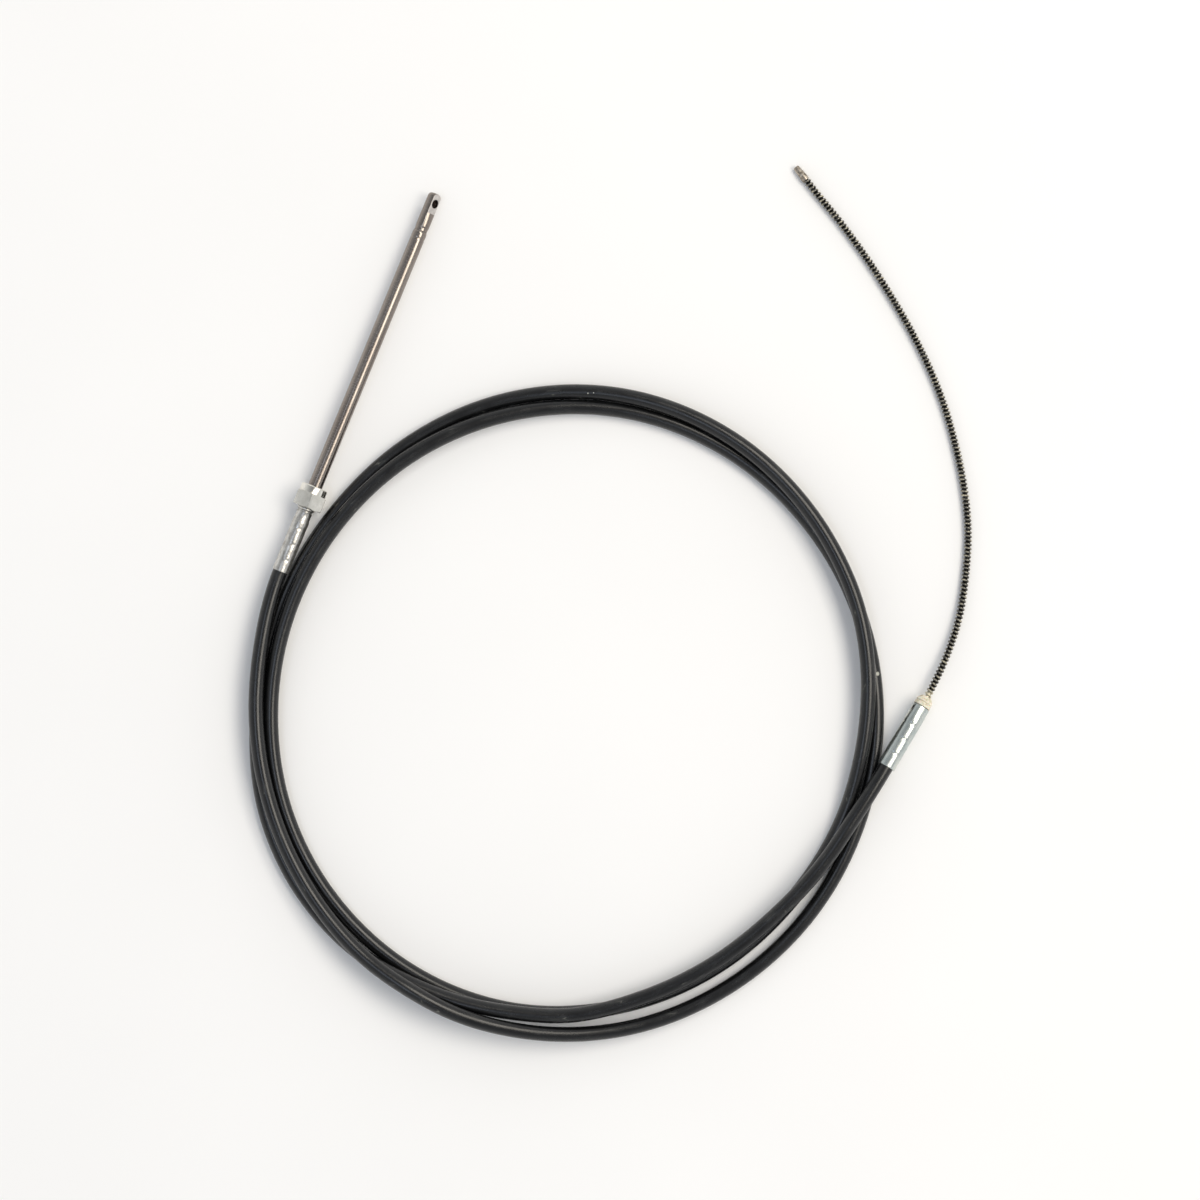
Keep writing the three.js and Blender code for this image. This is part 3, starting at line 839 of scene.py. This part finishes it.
def makeSeal():
    r = seal["diameter"] / 2
    bore = seal["bore"] / 2
    start = seal["start"]
    shoulder = start + seal["straight"]
    end = shoulder + seal["cone"]
    nose = seal["noseDiameter"] / 2
    # a lip groove runs round just behind the shoulder
    groove = shoulder - seal["grooveFrom"]
    low = r - seal["grooveDepth"]
    half, mouth = seal["grooveFloor"], seal["grooveMouth"]
    profile = [(bore, start), (r - 0.0003, start), (r, start + 0.0003), (r, start + 0.0008)]
    profile += [(r - 0.0001, groove - mouth), (low, groove - half), (low, groove + half)]
    profile += [(r - 0.0001, groove + mouth), (r, shoulder - 0.0009), (r - 0.0006, shoulder)]
    profile += [(nose + 0.0011, end - 0.0014), (nose, end - 0.0005), (nose - 0.0006, end)]
    profile += [(bore, end), (bore, start)]
    piece = turnPiece("helmSeal", profile, hollow=True)
    layPiece(piece, helmPlace)
    return piece


helmSeal = makeSeal()
settle(helmSeal, ivoryNylon, "cable", "helm_end_seal")

tip = {
    "start": 0.0003,
    "length": 0.0185,
    "diameter": 0.0084,
    "collar": 0.0062,
    "endDiameter": 0.0062,
    "chamfer": 0.0006,
    "sides": 32,
}


def makeTip():
    r = tip["diameter"] / 2
    start = tip["start"]
    end = start + tip["length"]
    small = tip["endDiameter"] / 2
    collarEnd = start + tip["collar"]
    chamfer = tip["chamfer"]
    profile = [(r - 0.0004, start), (r, start + 0.0004), (r, collarEnd - 0.0006)]
    profile += [(r - 0.0002, collarEnd), (small + 0.0003, end - 0.0015), (small, end - chamfer)]
    profile += [(small - chamfer, end)]
    piece = turnPiece("coreTip", profile, sides=tip["sides"])
    layPiece(piece, tipPlace)
    return piece


coreTip = makeTip()
settle(coreTip, brazedTip, "cable", "core_end_tip")
print("seal and tip made")

nut = {
    "acrossFlats": 0.03175,
    "start": 0.0754,
    "hexEnd": 0.0922,
    "end": 0.1004,
    "roundDiameter": 0.030,
    "bore": 0.0206,
    "neckHole": 0.014,
    "wall": 0.0042,
    "turn": 7,
    "chamfer": 0.0016,
    "noseChamfer": 0.0012,
    "threadPitch": 0.0018,
    "threadDepth": 0.0007,
    "threadFrom": 0.003,
    "threadTo": 0.0025,
    "mouthChamfer": 0.0006,
    "edge": 0.0006,
    "clearance": 0.0006,
    "cutPast": 0.002,
    "sides": 96,
}


def makeNut():
    flat = nut["acrossFlats"] / 2
    corner = flat / math.cos(math.radians(30))
    start, hexEnd, end = nut["start"], nut["hexEnd"], nut["end"]
    bpy.ops.object.select_all(action="DESELECT")
    bpy.ops.mesh.primitive_cylinder_add(vertices=6, radius=corner, depth=hexEnd - start,
                                        location=(0, 0, (start + hexEnd) / 2),
                                        rotation=(0, 0, math.radians(nut["turn"])))
    piece = bpy.context.active_object
    piece.name = "couplerNut"
    # the hexagon's corners are turned off at both ends
    clear = corner + nut["clearance"]
    chamfer = nut["chamfer"]
    rounding = turnPiece("rounding", [(flat, start), (clear, start + chamfer), (clear, hexEnd - chamfer),
                                      (flat, hexEnd)], sides=nut["sides"])
    applyBoolean(piece, rounding, "INTERSECT")
    r = nut["roundDiameter"] / 2
    nose = turnPiece("nose", [(r, hexEnd - nut["wall"]), (r, end - nut["noseChamfer"]),
                              (r - nut["noseChamfer"], end)], sides=nut["sides"])
    applyBoolean(piece, nose, "UNION")
    # the neck's hole, then the wide bore with its thread as rings, then the chamfered mouth
    hole = nut["neckHole"] / 2
    wide = nut["bore"] / 2
    mouth = nut["mouthChamfer"]
    floor = start + nut["wall"]
    cutter = [(hole, start - nut["cutPast"]), (hole, floor), (wide, floor)]
    along = floor + nut["threadFrom"]
    while along < end - nut["threadTo"]:
        cutter += [(wide, along), (wide - nut["threadDepth"], along + nut["threadPitch"] / 2)]
        along += nut["threadPitch"]
    cutter += [(wide, along), (wide, end - mouth)]
    cutter += [(wide + mouth, end), (wide + mouth, end + nut["cutPast"])]
    applyBoolean(piece, turnPiece("bore", cutter, sides=nut["sides"]), "DIFFERENCE")
    bevelEdges(piece, nut["edge"], segments=2, angle=28)
    layPiece(piece, outputPlace)
    return piece


settle(makeNut(), nickelPlate, "coupler", "coupler_nut")
print("nut made")

guide = {
    "diameter": 0.012,
    "bore": 0.008,
    "start": 0.084,
    "end": 0.377,
    "chamfer": 0.0005,
    "innerEdge": 0.0003,
}


def makeGuide():
    r, bore = guide["diameter"] / 2, guide["bore"] / 2
    start, end = guide["start"], guide["end"]
    chamfer, inner = guide["chamfer"], guide["innerEdge"]
    profile = [(bore, start), (r, start), (r, end - chamfer), (r - chamfer, end), (bore + inner, end)]
    profile += [(bore, end - inner), (bore, start)]
    piece = turnPiece("guideTube", profile, hollow=True)
    layPiece(piece, outputPlace)
    return piece


settle(makeGuide(), groundStainless, "cable", "guide_tube")

ram = {
    "diameter": 0.0159,
    "bore": 0.0128,
    "start": 0.084,
    "end": 0.403,
    "rollIn": 0.0008,
    "rollLength": 0.0022,
    "swageAt": 0.3945,
    "swageDepth": 0.0002,
    "swageFloor": 0.0006,
    "swageShoulder": 0.0014,
    "swageOuter": 0.0024,
}


def makeRamTube():
    r, bore = ram["diameter"] / 2, ram["bore"] / 2
    start, end, swage = ram["start"], ram["end"], ram["swageAt"]
    low = r - ram["swageDepth"]
    half, shoulder, outer = ram["swageFloor"], ram["swageShoulder"], ram["swageOuter"]
    roll = end - ram["rollLength"]
    profile = [(bore, start), (r - 0.0006, start), (r - 0.0002, start + 0.0002), (r, start + 0.0006)]
    profile += [(r, start + 0.0014), (r, swage - outer), (r, swage - shoulder), (low, swage - half)]
    profile += [(low, swage + half), (r, swage + shoulder), (r, swage + outer)]
    profile += [(r, roll - 0.0008), (r, roll), (r - 0.0003, roll + 0.001), (r - ram["rollIn"], end)]
    profile += [(bore, end), (bore, start)]
    piece = turnPiece("ramTube", profile, hollow=True)
    layPiece(piece, outputPlace)
    return piece


settle(makeRamTube(), groundStainless, "ram", "output_ram_tube")

rodEnd = {
    "diameter": 0.0152,
    "shankDiameter": 0.0121,
    "shankStart": 0.379,
    "neckStart": 0.4033,
    "neckDiameter": 0.0144,
    "neckLength": 0.0045,
    "tip": 0.4475,
    "tipRounding": 0.0042,
    "tipSteps": 8,
    "flatLength": 0.023,
    "flatThickness": 0.0095,
    "flatTilt": -36,
    "millPast": 0.02,
    "eyeDiameter": 0.0098,
    "eyeFromTip": 0.0112,
    "edge": 0.00035,
    "sides": 96,
    "eyeSides": 48,
}


def makeRodEnd():
    r = rodEnd["diameter"] / 2
    shank = rodEnd["shankDiameter"] / 2
    neck = rodEnd["neckStart"]
    n = rodEnd["neckDiameter"] / 2
    bodyStart = neck + rodEnd["neckLength"]
    end = rodEnd["tip"]
    bend = rodEnd["tipRounding"]
    steps = rodEnd["tipSteps"]
    profile = [(shank, rodEnd["shankStart"]), (shank, neck), (n, neck)]
    profile += [(n, neck + 0.0006), (n, bodyStart - 0.0012)]
    profile += [(n, bodyStart - 0.0006), (r - 0.0001, bodyStart), (r, bodyStart + 0.0005)]
    profile += [(r, bodyStart + 0.0015)]
    for i in range(steps + 1):
        turn = math.radians(90 * i / steps)
        profile.append((r - bend * (1 - math.cos(turn)), end - bend * (1 - math.sin(turn))))
    piece = turnPiece("rodEnd", profile, sides=rodEnd["sides"])
    # both sides are milled flat by a block that runs past the tip, then the eye is drilled across them
    tilt = math.radians(rodEnd["flatTilt"])
    past = rodEnd["millPast"]
    for side in (-1, 1):
        reach = side * (rodEnd["flatThickness"] / 2 + r / 2)
        middle = end - rodEnd["flatLength"] / 2 + past / 2
        place = (reach * math.cos(tilt), reach * math.sin(tilt), middle)
        bpy.ops.object.select_all(action="DESELECT")
        bpy.ops.mesh.primitive_cube_add(size=1, location=place, rotation=(0, 0, tilt),
                                        scale=(r, 3 * r, rodEnd["flatLength"] + past))
        applyBoolean(piece, bpy.context.active_object, "DIFFERENCE")
    bpy.ops.object.select_all(action="DESELECT")
    bpy.ops.mesh.primitive_cylinder_add(vertices=rodEnd["eyeSides"], radius=rodEnd["eyeDiameter"] / 2,
                                        depth=4 * r, location=(0, 0, end - rodEnd["eyeFromTip"]),
                                        rotation=(0, math.radians(90), tilt))
    applyBoolean(piece, bpy.context.active_object, "DIFFERENCE")
    bevelEdges(piece, rodEnd["edge"], segments=2, angle=30, joinFlat=False)
    layPiece(piece, outputPlace)
    return piece


rodPiece = makeRodEnd()
settle(rodPiece, groundStainless, "ram", "ram_rod_end")


# Faces inside the drilled eye are no farther from its axis than its radius and take the painted shade; the
# milled flats lie across it and take their painted reflection
def finishRodEnd(piece):
    tilt = math.radians(rodEnd["flatTilt"])
    axis = (outputPlace.to_3x3() @ Vector((math.cos(tilt), math.sin(tilt), 0))).normalized()
    middle = outputPlace @ Vector((0, 0, rodEnd["tip"] - rodEnd["eyeFromTip"]))
    piece.data.materials.append(paintedShadeInBores)
    piece.data.materials.append(milledFlatPaintedReflection)
    for face in piece.data.polygons:
        corners = [piece.data.vertices[i].co - middle for i in face.vertices]
        farthest = max((away - axis * away.dot(axis)).length for away in corners)
        if farthest < rodEnd["eyeDiameter"] / 2 + 0.0002:
            face.material_index = 1
        elif abs(abs((face.center - middle).dot(axis)) - rodEnd["flatThickness"] / 2) < 0.0001:
            face.material_index = 2


finishRodEnd(rodPiece)
print("ram made")

floorLook = {"size": 40, "low": "#f6f6f6", "high": "#f9f9f9"}


def makeFloor():
    bpy.ops.object.select_all(action="DESELECT")
    bpy.ops.mesh.primitive_plane_add(size=floorLook["size"], location=(0, 0, 0))
    floor = bpy.context.active_object
    floor.name = "floor"
    material, tree = newMaterial("matt white board")
    place = addNode(tree, "ShaderNodeTexCoord").outputs["Object"]
    # faint clouds a third of a metre across
    cloud = addNode(tree, "ShaderNodeTexNoise", {"Scale": 3, "Detail": 2}, {"Vector": place})
    stops = [(0.2, floorLook["low"]), (0.8, floorLook["high"])]
    tone = addNode(tree, "ShaderNodeValToRGB", {"stops": stops}, {"Fac": cloud.outputs["Fac"]})
    shader = addNode(tree, "ShaderNodeBsdfPrincipled", {"Roughness": 0.9, "IOR": 1.45},
                     {"Base Color": tone.outputs["Color"]})
    addNode(tree, "ShaderNodeOutputMaterial", links={"Surface": shader.outputs["BSDF"]})
    floor.data.materials.append(material)


makeFloor()

# The big far softbox puts the long highlight just right of the middle of the strands that run up.
# The weak cool one from the left gives the black plastic its second, bluish line.
softboxes = {
    "keySoftbox": {"place": (3.79, 1.62, 6.86), "size": (7.4, 3.6), "power": 450, "tone": "#fff8ec"},
    "coolSoftbox": {"place": (-2.2, -0.9, 7.6), "size": (5.0, 1.8), "power": 70, "tone": "#dbe6f7"},
}


def addSoftbox(name, look):
    bpy.ops.object.light_add(type="AREA", location=look["place"])
    lamp = bpy.context.active_object
    lamp.name = name
    lamp.rotation_euler = (-Vector(look["place"])).to_track_quat("-Z", "Y").to_euler()
    lamp.data.shape = "RECTANGLE"
    lamp.data.size, lamp.data.size_y = look["size"]
    lamp.data.energy = look["power"]
    lamp.data.color = hexToLinear(look["tone"])[:3]


for name, look in softboxes.items():
    addSoftbox(name, look)

# Pale all round and greyer overhead
world = bpy.data.worlds.new("studio")
bpy.context.scene.world = world
world.use_nodes = True
tree = world.node_tree
upward = addNode(tree, "ShaderNodeTexCoord").outputs["Generated"]
height = addNode(tree, "ShaderNodeSeparateXYZ", links={"Vector": upward})
skyStops = [(0.0, "#f2f2f3"), (0.3, "#e4e5e6"), (0.7, "#b8babc"), (0.95, "#85868a")]
dome = addNode(tree, "ShaderNodeValToRGB", {"stops": skyStops}, {"Fac": height.outputs["Z"]})
tree.links.new(dome.outputs["Color"], tree.nodes["Background"].inputs["Color"])
tree.nodes["Background"].inputs["Strength"].default_value = 1.0
bpy.context.scene.view_settings.view_transform = "Standard"
print("light set")
